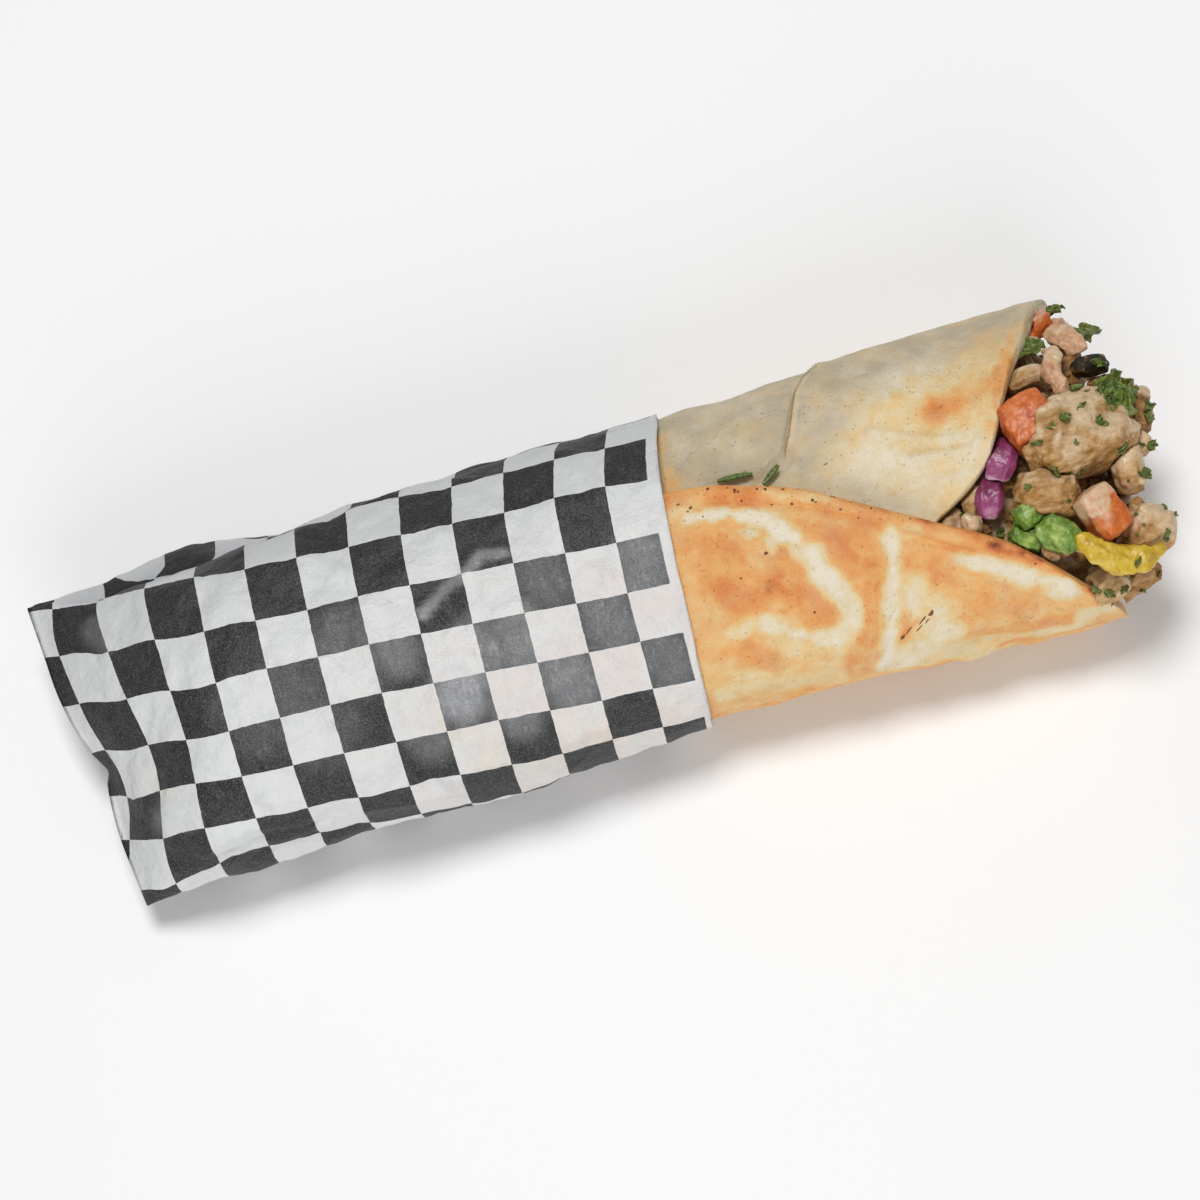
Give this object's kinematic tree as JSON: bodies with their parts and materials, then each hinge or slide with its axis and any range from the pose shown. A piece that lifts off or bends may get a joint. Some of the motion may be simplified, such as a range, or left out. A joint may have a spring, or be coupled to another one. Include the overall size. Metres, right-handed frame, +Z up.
{
  "type": "gyro wrap",
  "caption": "Gyro wrap: a toasted flatbread rolled round seasoned meat, onion, tomato and peppers, lying in a checkered paper sleeve that is open at one end.",
  "frame": {"origin": "middle of the underside of the whole wrap", "axes": "+X along the roll towards its open end, +Y across it to the far flap's side, +Z up"},
  "size_m": [0.2722, 0.0882, 0.0505],
  "materials": {
    "paper_sleeve": "satin",
    "flatbread": "matte",
    "tomato_cube": "glossy",
    "tomato_wedge": "glossy",
    "banana_pepper": "glossy",
    "meat_chunk_large": "matte",
    "meat_chunk_lower": "matte",
    "onion_upper": "glossy",
    "onion_lower": "glossy",
    "meat_bit_inner": "matte",
    "pepper_green_1": "glossy",
    "pepper_green_2": "glossy",
    "pepper_green_3": "glossy",
    "meat_slice_right": "matte",
    "meat_slice_low": "matte",
    "chicken_low": "matte",
    "chicken_edge": "matte",
    "chicken_tip": "matte",
    "tomato_inner": "glossy",
    "onion_strand_top": "glossy",
    "onion_strand_hanging": "glossy",
    "lettuce_inner": "matte",
    "onion_slice_inner": "glossy",
    "lettuce_tip": "matte",
    "meat_seared_top": "matte",
    "meat_seared_end": "matte",
    "parsley_sprig": "matte",
    "herb_far": "matte",
    "meat_filling": "matte",
    "chive_long": "matte",
    "chive_short": "matte"
  },
  "bodies": {
    "root": {"paper_sleeve": "paper_sleeve", "flatbread": "flatbread", "tomato_cube": "tomato_cube", "tomato_wedge": "tomato_wedge", "banana_pepper": "banana_pepper", "meat_chunk_large": "meat_chunk_large", "meat_chunk_lower": "meat_chunk_lower", "onion_upper": "onion_upper", "onion_lower": "onion_lower", "meat_bit_inner": "meat_bit_inner", "pepper_green_1": "pepper_green_1", "pepper_green_2": "pepper_green_2", "pepper_green_3": "pepper_green_3", "meat_slice_right": "meat_slice_right", "meat_slice_low": "meat_slice_low", "chicken_low": "chicken_low", "chicken_edge": "chicken_edge", "chicken_tip": "chicken_tip", "tomato_inner": "tomato_inner", "onion_strand_top": "onion_strand_top", "onion_strand_hanging": "onion_strand_hanging", "lettuce_inner": "lettuce_inner", "onion_slice_inner": "onion_slice_inner", "lettuce_tip": "lettuce_tip", "meat_seared_top": "meat_seared_top", "meat_seared_end": "meat_seared_end", "parsley_sprig": "parsley_sprig", "herb_far": "herb_far", "meat_filling": "meat_filling", "chive_long": "chive_long", "chive_short": "chive_short"}
  },
  "joints": []
}
